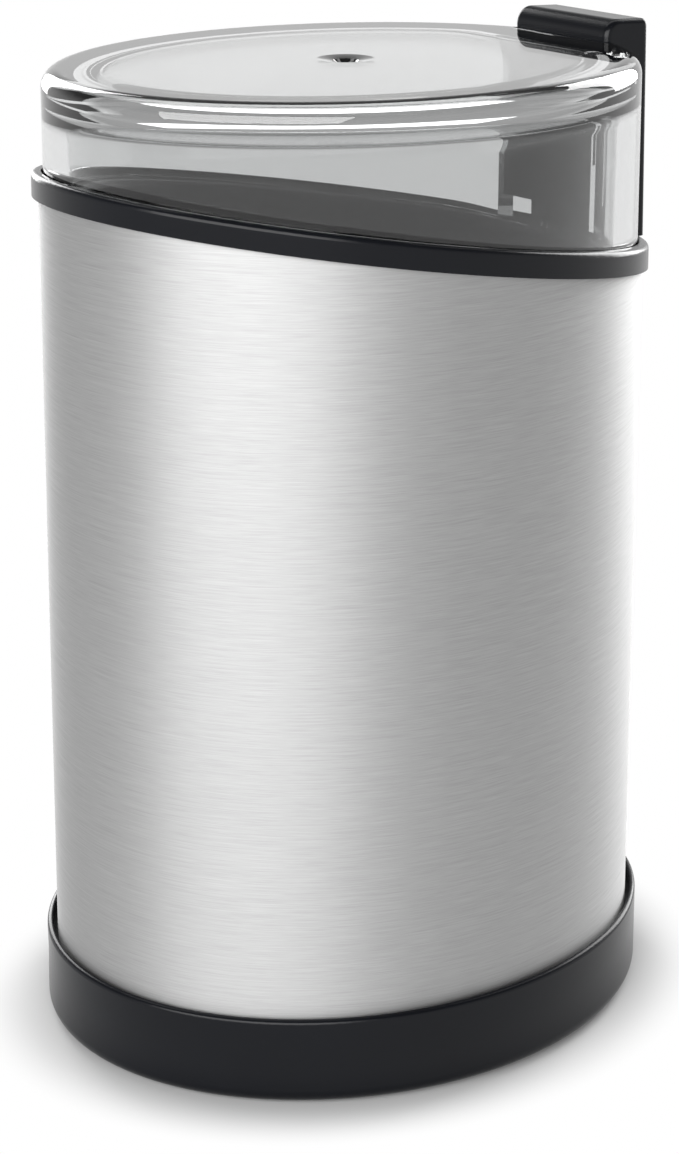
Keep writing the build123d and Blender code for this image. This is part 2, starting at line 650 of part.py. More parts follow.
# Blade spacer: stands the blade off the seal
with BuildPart() as blade_spacer:
    with BuildSketch(Plane.XY.offset(spacer_z)):
        Circle(SPACER_DIAMETER / 2)
        Circle(SHAFT_DIAMETER / 2, mode=Mode.SUBTRACT)
    extrude(amount=SPACER_HEIGHT)
finish(blade_spacer, "blade_spacer")

# Blade: a flat middle with one wing bent up and one bent down
wing_length = (BLADE_SPAN - BLADE_CENTRE) / 2 + BLADE_THICK
with BuildPart() as blade:
    with BuildSketch(Plane.XY.offset(blade_z)):
        RectangleRounded(BLADE_CENTRE, BLADE_WIDTH, BLADE_THICK)
    extrude(amount=BLADE_THICK)
    for side in (1, -1):
        bend = radians(BLADE_BEND)
        wing_plane = Plane(origin=(side * (BLADE_CENTRE / 2 - BLADE_THICK), 0, blade_z),
                           x_dir=(side * cos(bend), 0, side * sin(bend)), z_dir=(-sin(bend), 0, cos(bend)))
        with BuildSketch(wing_plane):
            with Locations((wing_length / 2, 0)):
                RectangleRounded(wing_length, BLADE_WIDTH, BLADE_TIP_RADIUS)
            Rectangle(BLADE_TIP_RADIUS * 2, BLADE_WIDTH, align=(Align.MIN, Align.CENTER))
        extrude(amount=BLADE_THICK)
        edge_plane = Plane(origin=wing_plane.from_local_coords((0, BLADE_WIDTH / 2, BLADE_THICK)),
                           x_dir=(0, -side, 0), z_dir=wing_plane.x_dir)
        with BuildSketch(edge_plane):
            with BuildLine():
                Polyline((0, 0), (BLADE_BEVEL, 0), (0, BLADE_EDGE), close=True)
            make_face()
        extrude(amount=wing_length, mode=Mode.SUBTRACT)
    with BuildSketch(Plane.XY.offset(blade_z - BLADE_THICK)):
        Circle(SHAFT_DIAMETER / 2)
    extrude(amount=BLADE_THICK * 3, mode=Mode.SUBTRACT)
finish(blade, "blade")

# Blade nut: a domed hexagon on the end of the shaft
with BuildPart() as blade_nut:
    with BuildSketch(Plane.XY.offset(nut_z)):
        RegularPolygon(NUT_WIDTH / 2, 6, major_radius=False)
    extrude(amount=NUT_HEIGHT)
    fillet(blade_nut.edges().group_by(Axis.Z)[-1], NUT_DOME)
    with BuildSketch(Plane.XY.offset(nut_z)):
        Circle(SHAFT_DIAMETER / 2)
    extrude(amount=shaft_top - nut_z, mode=Mode.SUBTRACT)
finish(blade_nut, "blade_nut")

# Stator core: laminations with two poles and windows for the coils
window_wide = COIL_WIDTH + FIT_GAP * 2
window_deep = COIL_DEPTH + FIT_GAP * 2
window_x = COIL_INNER / 2 + COIL_WIDTH / 2
window_y = ARMATURE_DIAMETER / 2 + AIR_GAP + window_deep / 2
with BuildPart() as stator_core:
    with BuildSketch(Plane.XY.offset(stator_z)):
        RectangleRounded(STATOR_LONG, STATOR_SHORT, STATOR_CORNER)
        Circle(ARMATURE_DIAMETER / 2 + AIR_GAP, mode=Mode.SUBTRACT)
        with GridLocations(window_x * 2, window_y * 2, 2, 2):
            Rectangle(window_wide, window_deep, mode=Mode.SUBTRACT)
        with GridLocations(bolt_x * 2, 0, 2, 1):
            Circle(BOLT_DIAMETER / 2 + FIT_GAP, mode=Mode.SUBTRACT)
    extrude(amount=STATOR_HEIGHT)
finish(stator_core, "stator_core")

# Field coils: a wound frame round each pole
coil_height = STATOR_HEIGHT + COIL_OVERHANG * 2
coil_gap = CLEARANCE / 2
with BuildPart() as field_coils:
    for side in (1, -1):
        coil_plane = Plane(origin=(0, side * (window_y - COIL_DEPTH / 2), stator_z + STATOR_HEIGHT / 2),
                           x_dir=(side, 0, 0), z_dir=(0, side, 0))
        with BuildSketch(coil_plane):
            RectangleRounded(COIL_INNER + COIL_WIDTH * 2, coil_height, COIL_RADIUS)
            Rectangle(COIL_INNER, STATOR_HEIGHT + coil_gap * 2, mode=Mode.SUBTRACT)
        extrude(amount=COIL_DEPTH)
finish(field_coils, "field_coils")

# Upper bearing bridge: a plate on two legs that stand on the stator
with BuildPart() as upper_bridge:
    with BuildSketch(Plane.XY.offset(bridge_top - BRIDGE_THICK)):
        RectangleRounded(BRIDGE_LONG, BRIDGE_SHORT, BRIDGE_CORNER)
    extrude(amount=BRIDGE_THICK)
    with BuildSketch(Plane.XY.offset(stator_top)):
        with GridLocations(bolt_x * 2, 0, 2, 1):
            Rectangle(LEG_LONG, LEG_WIDE)
    extrude(amount=UPPER_LEG)
    with BuildSketch(Plane.XY.offset(stator_top)):
        Circle(BEARING_DIAMETER / 2)
        with GridLocations(bolt_x * 2, 0, 2, 1):
            Circle(BOLT_DIAMETER / 2 + FIT_GAP)
        with GridLocations(MOUNT_PITCH_X, MOUNT_PITCH_Y, 2, 2):
            Circle(BOLT_DIAMETER / 2)
    extrude(amount=UPPER_LEG + BRIDGE_THICK, mode=Mode.SUBTRACT)
finish(upper_bridge, "upper_bridge")

# Lower bearing bridge: a cross with two legs and a pad under each brush holder
holder_start = COMMUTATOR_DIAMETER / 2 + HOLDER_SETBACK
holder_bottom = brush_z - BRUSH_TALL / 2 - FIT_GAP - HOLDER_WALL
arm_reach = holder_start + HOLDER_LONG
holder_wide = BRUSH_WIDE + FIT_GAP * 2 + HOLDER_WALL * 2
holder_tall = BRUSH_TALL + FIT_GAP * 2 + HOLDER_WALL * 2
with BuildPart() as lower_bridge:
    with BuildSketch(Plane.XY.offset(lower_bridge_z)):
        RectangleRounded(STATOR_LONG, LEG_WIDE, STATOR_CORNER / 3)
        RectangleRounded(holder_wide, arm_reach * 2, HOLDER_WALL)
    extrude(amount=BRIDGE_THICK)
    with BuildSketch(Plane.XY.offset(lower_bridge_top)):
        with GridLocations(bolt_x * 2, 0, 2, 1):
            Rectangle(LEG_LONG, LEG_WIDE)
    extrude(amount=LOWER_LEG)
    with BuildSketch(Plane.XY.offset(lower_bridge_top)):
        with GridLocations(0, holder_start * 2 + HOLDER_LONG, 1, 2):
            Rectangle(holder_wide, PAD_LONG)
    extrude(amount=holder_bottom - lower_bridge_top)
    with BuildSketch(Plane.XY.offset(lower_bridge_z)):
        Circle(BEARING_DIAMETER / 2)
        with GridLocations(bolt_x * 2, 0, 2, 1):
            Circle(BOLT_DIAMETER / 2 + FIT_GAP)
    extrude(amount=LOWER_LEG + BRIDGE_THICK, mode=Mode.SUBTRACT)
finish(lower_bridge, "lower_bridge")

# Bearings: sintered bushes pressed into the bridges
with BuildPart() as upper_bearing:
    with BuildSketch(Plane.XY.offset(upper_bearing_z)):
        Circle(BEARING_DIAMETER / 2)
        Circle(shaft_bore, mode=Mode.SUBTRACT)
    extrude(amount=BEARING_HEIGHT)
finish(upper_bearing, "upper_bearing")
with BuildPart() as lower_bearing:
    with BuildSketch(Plane.XY.offset(lower_bearing_z)):
        Circle(BEARING_DIAMETER / 2)
        Circle(shaft_bore, mode=Mode.SUBTRACT)
    extrude(amount=BEARING_HEIGHT)
finish(lower_bearing, "lower_bearing")

# Motor bolts and nuts: clamp the two bridges on the stator
with BuildPart() as motor_bolts:
    with BuildSketch(Plane.XY.offset(lower_bridge_z - BOLT_HEAD_HEIGHT)):
        with GridLocations(bolt_x * 2, 0, 2, 1):
            Circle(BOLT_HEAD_DIAMETER / 2)
    extrude(amount=BOLT_HEAD_HEIGHT)
    with BuildSketch(Plane.XY.offset(lower_bridge_z)):
        with GridLocations(bolt_x * 2, 0, 2, 1):
            Circle(BOLT_DIAMETER / 2)
    extrude(amount=bridge_top + MOTOR_NUT_HEIGHT - lower_bridge_z)
finish(motor_bolts, "motor_bolts")
with BuildPart() as motor_nuts:
    with BuildSketch(Plane.XY.offset(bridge_top)):
        with GridLocations(bolt_x * 2, 0, 2, 1):
            RegularPolygon(MOTOR_NUT_WIDTH / 2, 6, major_radius=False)
            Circle(BOLT_DIAMETER / 2, mode=Mode.SUBTRACT)
    extrude(amount=MOTOR_NUT_HEIGHT)
finish(motor_nuts, "motor_nuts")

# Rubber mounts between motor and deck, and the screws through them
with BuildPart() as motor_mounts:
    with BuildSketch(Plane.XY.offset(bridge_top)):
        with GridLocations(MOUNT_PITCH_X, MOUNT_PITCH_Y, 2, 2):
            Circle(MOUNT_DIAMETER / 2)
            Circle(BOLT_DIAMETER / 2 + FIT_GAP, mode=Mode.SUBTRACT)
    extrude(amount=MOUNT_HEIGHT)
finish(motor_mounts, "motor_mounts")
with BuildPart() as mount_screws:
    with BuildSketch(Plane.XY.offset(deck_top)):
        with GridLocations(MOUNT_PITCH_X, MOUNT_PITCH_Y, 2, 2):
            Circle(BOLT_HEAD_DIAMETER / 2)
    extrude(amount=SCREW_HEAD_HEIGHT)
    with BuildSketch(Plane.XY.offset(bridge_top - BRIDGE_THICK)):
        with GridLocations(MOUNT_PITCH_X, MOUNT_PITCH_Y, 2, 2):
            Circle(BOLT_DIAMETER / 2)
    extrude(amount=deck_top - bridge_top + BRIDGE_THICK)
finish(mount_screws, "mount_screws")

# Brush gear: a brass box on each side, with a carbon brush and its spring
brush_start = COMMUTATOR_DIAMETER / 2 + FIT_GAP
spring_start = brush_start + BRUSH_LONG
holder_floor = holder_start + HOLDER_LONG - HOLDER_WALL
brush_planes = [Plane(origin=(0, 0, brush_z), x_dir=(-side, 0, 0), z_dir=(0, side, 0)) for side in (1, -1)]
with BuildPart() as brush_holders:
    for brush_plane in brush_planes:
        with BuildSketch(brush_plane.offset(holder_start)):
            Rectangle(holder_wide, holder_tall)
        extrude(amount=HOLDER_LONG)
        with BuildSketch(brush_plane.offset(holder_start)):
            Rectangle(BRUSH_WIDE + FIT_GAP * 2, BRUSH_TALL + FIT_GAP * 2)
        extrude(amount=HOLDER_LONG - HOLDER_WALL, mode=Mode.SUBTRACT)
finish(brush_holders, "brush_holders")
with BuildPart() as carbon_brushes:
    for brush_plane in brush_planes:
        with BuildSketch(brush_plane.offset(brush_start)):
            Rectangle(BRUSH_WIDE, BRUSH_TALL)
        extrude(amount=BRUSH_LONG)
finish(carbon_brushes, "carbon_brushes")
brush_coils = [coil_spring(BRUSH_SPRING_DIAMETER, BRUSH_SPRING_WIRE, BRUSH_SPRING_TURNS,
                           holder_floor - spring_start, brush_plane.offset(spring_start))
               for brush_plane in brush_planes]
with BuildPart() as brush_springs:
    for brush_coil in brush_coils:
        add(brush_coil)
finish(brush_springs, "brush_springs")

# Switch plunger: a stepped pin in the collar, pushed up by its spring
plunger_top = rim_z(plunger_x, lid_seat) - PLUNGER_SINK
flange_edge = plunger_x + PLUNGER_FLANGE_DIAMETER / 2
flange_top = rim_z(flange_edge, lid_seat - COLLAR_DECK) - CLEARANCE
flange_bottom = flange_top - PLUNGER_FLANGE
with BuildPart() as switch_plunger:
    with Locations((plunger_x, 0, stem_bottom)):
        Cylinder(STEM_DIAMETER / 2, flange_bottom - stem_bottom, align=STANDING)
    fillet(switch_plunger.edges().sort_by(Axis.Z)[0], STEM_TIP_RADIUS)
    with Locations((plunger_x, 0, flange_bottom)):
        Cylinder(PLUNGER_FLANGE_DIAMETER / 2, PLUNGER_FLANGE, align=STANDING)
    with Locations((plunger_x, 0, flange_top)):
        Cylinder(PLUNGER_DIAMETER / 2, plunger_top - flange_top, align=STANDING)
finish(switch_plunger, "switch_plunger")
plunger_coil = coil_spring(SPRING_DIAMETER, SPRING_WIRE, SPRING_TURNS, flange_bottom - shelf_top,
                           Plane(origin=(plunger_x, 0, shelf_top)))
with BuildPart() as plunger_spring:
    add(plunger_coil)
finish(plunger_spring, "plunger_spring")

# Micro-switch: a case with ears for the lever's pin and a well for its own button
pivot_y = -LEVER_ARM
key_y = pivot_y + KEY_ARM
lever_outer = switch_outer - EAR_THICK - CLEARANCE
lever_x = lever_outer - LEVER_WIDE / 2
ear_inner = lever_outer - LEVER_WIDE - CLEARANCE - EAR_THICK
key_top = pivot_z + KEY_ARM * tan(radians(LEVER_REST)) - LEVER_THICK / 2 / cos(radians(LEVER_REST)) - KEY_GAP
key_bottom = switch_top - KEY_SINK
key_travel = BUTTON_TRAVEL * KEY_ARM / LEVER_ARM
with BuildPart() as switch_case:
    with Locations((switch_x, 0, switch_screw_z)):
        Box(SWITCH_WIDE, SWITCH_LONG, SWITCH_TALL)
    fillet(switch_case.edges().filter_by(Axis.X), SWITCH_EDGE)
    for ear_x in (ear_inner, switch_outer - EAR_THICK):
        with Locations((ear_x, pivot_y + EAR_LENGTH / 6, switch_top - SWITCH_EDGE)):
            Box(EAR_THICK, EAR_LENGTH, PIVOT_HEIGHT + SWITCH_EDGE + PIN_DIAMETER,
                align=(Align.MIN, Align.CENTER, Align.MIN))
    with BuildSketch(Plane.YZ):
        with Locations((pivot_y, pivot_z)):
            Circle(PIN_DIAMETER / 2)
    extrude(amount=SLEEVE_LONG / 2, mode=Mode.SUBTRACT)
    with BuildSketch(Plane.XY.offset(switch_top)):
        with Locations((lever_x, key_y)):
            Circle(KEY_DIAMETER / 2 + FIT_GAP * 2)
    extrude(amount=-KEY_SINK - key_travel - CLEARANCE, mode=Mode.SUBTRACT)
    with BuildSketch(switch_plane):
        with GridLocations(SWITCH_SCREW_PITCH, 0, 2, 1):
            Circle(SWITCH_SCREW_DIAMETER / 2)
    extrude(amount=-SWITCH_WIDE, mode=Mode.SUBTRACT)
finish(switch_case, "switch_case")

# Lever pin: held in the ears of the case
with BuildPart() as lever_pin:
    with BuildSketch(Plane.YZ.offset(ear_inner)):
        with Locations((pivot_y, pivot_z)):
            Circle(PIN_DIAMETER / 2)
    extrude(amount=switch_outer - ear_inner)
finish(lever_pin, "lever_pin")

# Switch lever: a spring-steel strip with an eye round the pin, raised at rest and wider under the stem
lever_slope = radians(LEVER_REST)
lever_plane = Plane(origin=(lever_outer - LEVER_WIDE, pivot_y, pivot_z),
                    x_dir=(0, cos(lever_slope), sin(lever_slope)), z_dir=(1, 0, 0))
with BuildPart() as switch_lever:
    with BuildSketch(lever_plane):
        Rectangle(LEVER_LONG, LEVER_THICK, align=(Align.MIN, Align.CENTER))
        Circle(LEVER_EYE_DIAMETER / 2)
        Circle(PIN_DIAMETER / 2 + FIT_GAP, mode=Mode.SUBTRACT)
    extrude(amount=LEVER_WIDE)
    with BuildSketch(lever_plane):
        with Locations((LEVER_NECK, 0)):
            Rectangle(LEVER_LONG - LEVER_NECK, LEVER_THICK, align=(Align.MIN, Align.CENTER))
    extrude(amount=plunger_x + STEM_DIAMETER / 2 - lever_outer + LEVER_WIDE)
finish(switch_lever, "switch_lever")

# Switch button: the small key under the lever
with BuildPart() as switch_key:
    with BuildSketch(Plane.XY.offset(key_bottom)):
        with Locations((lever_x, key_y)):
            Circle(KEY_DIAMETER / 2)
    extrude(amount=key_top - key_bottom - KEY_DIAMETER / 2 * tan(lever_slope))
finish(switch_key, "switch_key")

# Switch terminals: three tabs under the case
with BuildPart() as switch_terminals:
    with BuildSketch(Plane.XY.offset(switch_top - SWITCH_TALL)):
        with Locations((switch_x, 0)):
            with GridLocations(0, TERMINAL_PITCH, 1, 3):
                Rectangle(TERMINAL_THICK, TERMINAL_WIDE)
    extrude(amount=-TERMINAL_LONG)
finish(switch_terminals, "switch_terminals")

# Switch screws: through the case into the housing's wall
with BuildPart() as switch_screws:
    with BuildSketch(switch_plane.offset(-SWITCH_WIDE)):
        with GridLocations(SWITCH_SCREW_PITCH, 0, 2, 1):
            Circle(SWITCH_SCREW_HEAD / 2)
    extrude(amount=-SWITCH_SCREW_HEAD_HEIGHT)
    with BuildSketch(switch_plane.offset(-SWITCH_WIDE)):
        with GridLocations(SWITCH_SCREW_PITCH, 0, 2, 1):
            Circle(SWITCH_SCREW_DIAMETER / 2)
    extrude(amount=SWITCH_WIDE + boss_length)
finish(switch_screws, "switch_screws")

# Lid: a thick clear cap with a notch for the button
lid_floor = lid_seat + SEAT_GAP
cavity_long, cavity_short = oval(-LID_INSET - LID_WALL)
notch_half = BUTTON_WIDTH / 2 + CLEARANCE
guide_x = notch_x + GUIDE_SETBACK + GUIDE_WIDTH / 2
guide_top = lid_top - GUIDE_DROP
with BuildPart() as lid_cavity:
    with BuildSketch(Plane.XY.offset(shelf_top)):
        flat_oval(cavity_long, cavity_short, notch_x - NOTCH_WALL, LID_CAVITY_CORNER)
    extrude(amount=lid_top - LID_ROOF - shelf_top)
    fillet(lid_cavity.faces().sort_by(Axis.Z)[-1].edges(), LID_INNER_RADIUS)
with BuildPart() as lid:
    with BuildSketch(Plane.XY.offset(shelf_top)):
        Ellipse(*oval(-LID_INSET))
    extrude(amount=lid_top - shelf_top)
    fillet(lid.faces().sort_by(Axis.Z)[-1].edges(), LID_TOP_RADIUS)
    split(bisect_by=rim_plane(lid_floor), keep=Keep.TOP)
    add(lid_cavity.part, mode=Mode.SUBTRACT)
    with BuildSketch(Plane.XY.offset(shelf_top)):
        with Locations((notch_x, 0)):
            Rectangle(SLEEVE_LONG / 2, notch_half * 2, align=(Align.MIN, Align.CENTER))
    extrude(amount=tall, mode=Mode.SUBTRACT)
    with BuildSketch(Plane.XY.offset(guide_top)):
        with GridLocations(0, notch_half * 2, 1, 2):
            with Locations((guide_x, 0)):
                Rectangle(GUIDE_WIDTH, GUIDE_PROUD * 2)
    extrude(amount=-GUIDE_LENGTH)
    with Locations((0, 0, lid_top)):
        Cone(GATE_DIAMETER / 2, DISH_DIAMETER / 2, DISH_DEPTH,
             align=(Align.CENTER, Align.CENTER, Align.MAX), mode=Mode.SUBTRACT)
    with Locations((0, 0, lid_top - DISH_DEPTH)):
        Cone(GATE_FLOOR_DIAMETER / 2, GATE_DIAMETER / 2, GATE_DEPTH,
             align=(Align.CENTER, Align.CENTER, Align.MAX), mode=Mode.SUBTRACT)
finish(lid, "lid")

# Push button: a hollow tab in the lid's notch, with a plate outside the band and a pin over the plunger
button_top = lid_top + BUTTON_PROUD
plate_inner = SLEEVE_LONG / 2 + BAND_PROUD + CLEARANCE
plate_outer = plate_inner + PLATE_THICK
plate_bottom = rim_z(plate_inner, BAND_HEIGHT) - PLATE_REACH
body_bottom = rim_z(button_inner, BAND_HEIGHT) + BUTTON_TRAVEL + CLEARANCE
button_outer = button_inner + BUTTON_TOP_LONG
groove_half = GUIDE_WIDTH / 2 + CLEARANCE
with BuildPart() as push_button:
    with BuildSketch(Plane.XZ.offset(-BUTTON_WIDTH / 2)) as button_side:
        with BuildLine():
            Polyline((button_inner, body_bottom), (button_inner, button_top),
                     (button_outer, button_top - BUTTON_TOP_FALL), (plate_outer, plate_bottom),
                     (plate_inner, plate_bottom), (plate_inner, body_bottom), close=True)
        make_face()
        fillet(button_side.vertices().sort_by(Axis.Y)[-1], BUTTON_CROWN)
    extrude(amount=BUTTON_WIDTH)
    shown_edges = push_button.edges().filter_by(lambda edge: edge.center().Z > guide_top - GUIDE_LENGTH)
    end_edges = shown_edges.filter_by(lambda edge: abs(edge.center().Y) > BUTTON_EDGE)
    outer_edge = shown_edges.filter_by(Axis.Y).sort_by(Axis.X)[-1]
    fillet([*end_edges, outer_edge], BUTTON_EDGE)
    with BuildSketch(Plane.XY.offset(body_bottom)):
        with Locations((button_inner + BUTTON_WALL, 0)):
            Rectangle(plate_inner - button_inner - BUTTON_WALL * 2, BUTTON_WIDTH - BUTTON_END_WALL * 2,
                      align=(Align.MIN, Align.CENTER))
    extrude(amount=button_top - BUTTON_ROOF - body_bottom, mode=Mode.SUBTRACT)
    with BuildSketch(Plane.XY.offset(plunger_top + LEVER_GAP)):
        with Locations((plunger_x, 0)):
            Circle(LEG_PIN_DIAMETER / 2)
    extrude(amount=button_top - BUTTON_ROOF - plunger_top)
    with BuildSketch(Plane.XY.offset(guide_top + BUTTON_TRAVEL + CLEARANCE)):
        with GridLocations(0, BUTTON_WIDTH, 1, 2):
            with Locations((guide_x, 0)):
                Rectangle(groove_half * 2, GUIDE_PROUD * 2)
    extrude(amount=-GUIDE_LENGTH - BUTTON_TRAVEL - CLEARANCE * 2, mode=Mode.SUBTRACT)
finish(push_button, "push_button")
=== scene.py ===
# %% [markdown]
# # A blade coffee grinder in brushed steel and clear plastic
# The grinder comes in as a imported CAD model: every piece has its true size and place already. This lesson dresses
# it for a picture. Most hard pieces keep their CAD shape and only get a finish. The steel sleeve and the clear lid
# are modelled again, because brushed metal needs a map that runs round the wall, and clear plastic shows every
# uneven facet in its refractions. A spring inside is copied into a piece of its own.

# %% Load the frame
import json
from math import atan2, cos, pi, radians, sin, tan

import bmesh
import bpy
from mathutils import Matrix, Vector


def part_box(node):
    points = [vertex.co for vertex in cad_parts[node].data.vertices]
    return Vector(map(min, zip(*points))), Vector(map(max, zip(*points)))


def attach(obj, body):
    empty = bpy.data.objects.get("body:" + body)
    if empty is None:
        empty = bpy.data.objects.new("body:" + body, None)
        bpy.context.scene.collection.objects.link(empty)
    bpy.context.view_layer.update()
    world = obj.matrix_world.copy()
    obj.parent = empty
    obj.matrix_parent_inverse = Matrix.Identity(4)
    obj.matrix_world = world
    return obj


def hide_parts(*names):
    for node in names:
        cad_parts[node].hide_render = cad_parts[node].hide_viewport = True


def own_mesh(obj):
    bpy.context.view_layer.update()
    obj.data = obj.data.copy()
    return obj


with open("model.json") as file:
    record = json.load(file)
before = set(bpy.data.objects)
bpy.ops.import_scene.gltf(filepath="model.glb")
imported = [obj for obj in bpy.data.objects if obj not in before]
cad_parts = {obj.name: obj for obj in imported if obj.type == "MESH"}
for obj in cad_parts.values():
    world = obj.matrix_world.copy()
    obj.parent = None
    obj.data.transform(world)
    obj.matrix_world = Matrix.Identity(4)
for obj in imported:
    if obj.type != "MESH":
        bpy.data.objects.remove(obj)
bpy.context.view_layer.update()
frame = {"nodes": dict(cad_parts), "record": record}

# %% [markdown]
# ## Sizes
# Everything is in metres, so a millimetre gets a name. The oval body is read from the frame: the sleeve's box gives
# its half lengths, and the lid's box gives the height of the lid. Only what a box can't tell is written down, such
# as the slope of the rim.

# %% Sizes
MM = 0.001
sleeve_low, sleeve_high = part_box("steel_sleeve")
lid_low, lid_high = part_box("lid")
button_low, button_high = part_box("push_button")
long_half, short_half = sleeve_high.x, sleeve_high.y
RIM_TILT = radians(9.6)          # the rim drops towards the push button
RIM_HEIGHT = 138.0 * MM          # the band's lower edge on the centre line
centre = Vector((0, 0, lid_high.z / 2))
print("body", round(long_half / MM, 2), "x", round(short_half / MM, 2), "mm half lengths, lid top",
      round(lid_high.z / MM, 2), "mm")

# %% [markdown]
# ## Camera
# The photograph looks at the grinder from its left front and a little from above, with a long lens. Its upright
# lines hardly converge, so part of the framing is done with lens shift, as a product photographer does, and the
# rest by tilting the camera.

# %% Camera
CAMERA_AZIMUTH = radians(-36.67)
CAMERA_DISTANCE = 472.3 * MM     # from the grinder's axis, measured level
CAMERA_HEIGHT = 237.4 * MM
CAMERA_PITCH = radians(14.27)
CAMERA_YAW = radians(0.127)
PHOTO_LONG_SIDE = 1154           # pixels
FOCAL_PIXELS = 2821
SENSOR = 36.0                    # mm, the long side of the film
CAMERA_SHIFT = -0.2              # share of the film's long side
CLIP_START = 10 * MM

scene = bpy.context.scene
scene.view_settings.view_transform = "Standard"
camera = bpy.data.objects.new("camera", bpy.data.cameras.new("camera"))
scene.collection.objects.link(camera)
scene.camera = camera
camera.location = (CAMERA_DISTANCE * sin(CAMERA_AZIMUTH), -CAMERA_DISTANCE * cos(CAMERA_AZIMUTH), CAMERA_HEIGHT)
camera.rotation_euler = (pi / 2 - CAMERA_PITCH, 0, CAMERA_AZIMUTH + CAMERA_YAW)
camera.data.sensor_width = SENSOR
camera.data.lens = SENSOR * FOCAL_PIXELS / PHOTO_LONG_SIDE
camera.data.shift_y = CAMERA_SHIFT
camera.data.clip_start = CLIP_START
print("lens", round(camera.data.lens, 1), "mm")

# %% [markdown]
# ## Nodes and colours
# A material is a small tree of nodes. One helper adds a node, sets what it is told and links what it reads, so a
# finish can be read from top to bottom like a recipe. Colours are written as the sRGB values that a picture editor
# shows, and one function turns them into the linear light that Cycles works in.

# %% Node helper and colours
def node(tree, kind, inputs=None, **settings):
    """Add a node, set its properties, and set or link its inputs."""
    made = tree.nodes.new(kind)
    for name, value in settings.items():
        setattr(made, name, value)
    for name, value in (inputs or {}).items():
        if isinstance(value, bpy.types.NodeSocket):
            tree.links.new(value, made.inputs[name])
        else:
            made.inputs[name].default_value = value
    return made


def linear(hex_code):
    """An sRGB hex colour as linear red, green, blue and alpha."""
    shares = [int(hex_code[i:i + 2], 16) / 255 for i in (1, 3, 5)]
    return [s / 12.92 if s <= 0.04045 else ((s + 0.055) / 1.055) ** 2.4 for s in shares] + [1.0]


def new_material(name):
    """An empty material: its node tree and its output node."""
    material = bpy.data.materials.new(name)
    material.use_nodes = True
    material.node_tree.nodes.clear()
    return material, material.node_tree, node(material.node_tree, "ShaderNodeOutputMaterial")


# %% [markdown]
# ## Studio
# The photograph is a plain product shot on white: a big soft light at the left front, smaller ones at the back and
# light from above. The world is the dim room round them. Rays from the camera, and rays that are mirrored by metal or
# pass through the lid, see a white sweep instead, so the background is white without more light falling on the
# grinder. High up the sweep ends. Rays that the steel mirrors then see the dimmer room, and rays that the lid bends
# see the room with some white in it, which gives the steel its dark tones and the lid its grey bands.

# %% World
ROOM = "#8a8a8a"
WHITE = "#ffffff"
LID_WHITE = 0.25                 # share of white that rays through the lid see high up
SWEEP_FULL, SWEEP_GONE = 0.15, 0.45   # upward part of a ray's direction where the sweep starts to fade and is gone
world = bpy.data.worlds.new("studio")
scene.world = world
world.use_nodes = True
tree = world.node_tree
tree.nodes.clear()
path = node(tree, "ShaderNodeLightPath")
turned = node(tree, "ShaderNodeMath", {0: path.outputs["Is Glossy Ray"], 1: path.outputs["Is Transmission Ray"]},
              operation="MAXIMUM")
place = node(tree, "ShaderNodeTexCoord")
split = node(tree, "ShaderNodeSeparateXYZ", {"Vector": place.outputs["Generated"]})
sweep = node(tree, "ShaderNodeMapRange", {"Value": split.outputs["Z"], "From Min": SWEEP_FULL,
                                          "From Max": SWEEP_GONE, "To Min": 1.0, "To Max": 0.0})
low = node(tree, "ShaderNodeMath", {0: turned.outputs[0], 1: sweep.outputs["Result"]}, operation="MULTIPLY")
through = node(tree, "ShaderNodeMath", {0: path.outputs["Is Transmission Ray"], 1: LID_WHITE}, operation="MULTIPLY")
bent = node(tree, "ShaderNodeMath", {0: low.outputs[0], 1: through.outputs[0]}, operation="MAXIMUM")
white = node(tree, "ShaderNodeMath", {0: path.outputs["Is Camera Ray"], 1: bent.outputs[0]}, operation="MAXIMUM")
colour = node(tree, "ShaderNodeMix", {"Factor": white.outputs[0], "A": linear(ROOM), "B": linear(WHITE)},
              data_type="RGBA")
background = node(tree, "ShaderNodeBackground", {"Color": colour.outputs["Result"], "Strength": 1.0})
node(tree, "ShaderNodeOutputWorld", {"Surface": background.outputs["Background"]})
print("world", ROOM, "with a white sweep")

# %% [markdown]
# The floor is pale grey matt paint. Near the grinder it is lit by the lamps and keeps the real soft contact shadow.
# Further out it fades into pure white for the camera, for mirrored rays and for rays through the lid, as a paper
# sweep does when it is lit from behind. The fade starts at the edge of the base and ends a short way out, so the grey
# that the camera sees close round the base is a painted shade that deepens the real contact shadow. The fade reads
# the floor's own Object coordinates, divided by the half lengths of the base, so it follows the oval.

# %% Floor
FLOOR_HALF = 6.0
# The grey of the paint is also a painted shade: the camera sees it only close round the base, before the fade to
# white, where it deepens the real contact shadow.
FLOOR_PAINT_AND_SHADE = "#c6c6c6"
SHADE_FADE_START, SHADE_FADE_END = 0.98, 1.25     # in sizes of the base's oval: the floor turns white between them
base_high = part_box("base_shell")[1]

bm = bmesh.new()
bmesh.ops.create_grid(bm, x_segments=1, y_segments=1, size=FLOOR_HALF)
mesh = bpy.data.meshes.new("floor")
bm.to_mesh(mesh)
bm.free()
floor = bpy.data.objects.new("floor", mesh)
scene.collection.objects.link(floor)

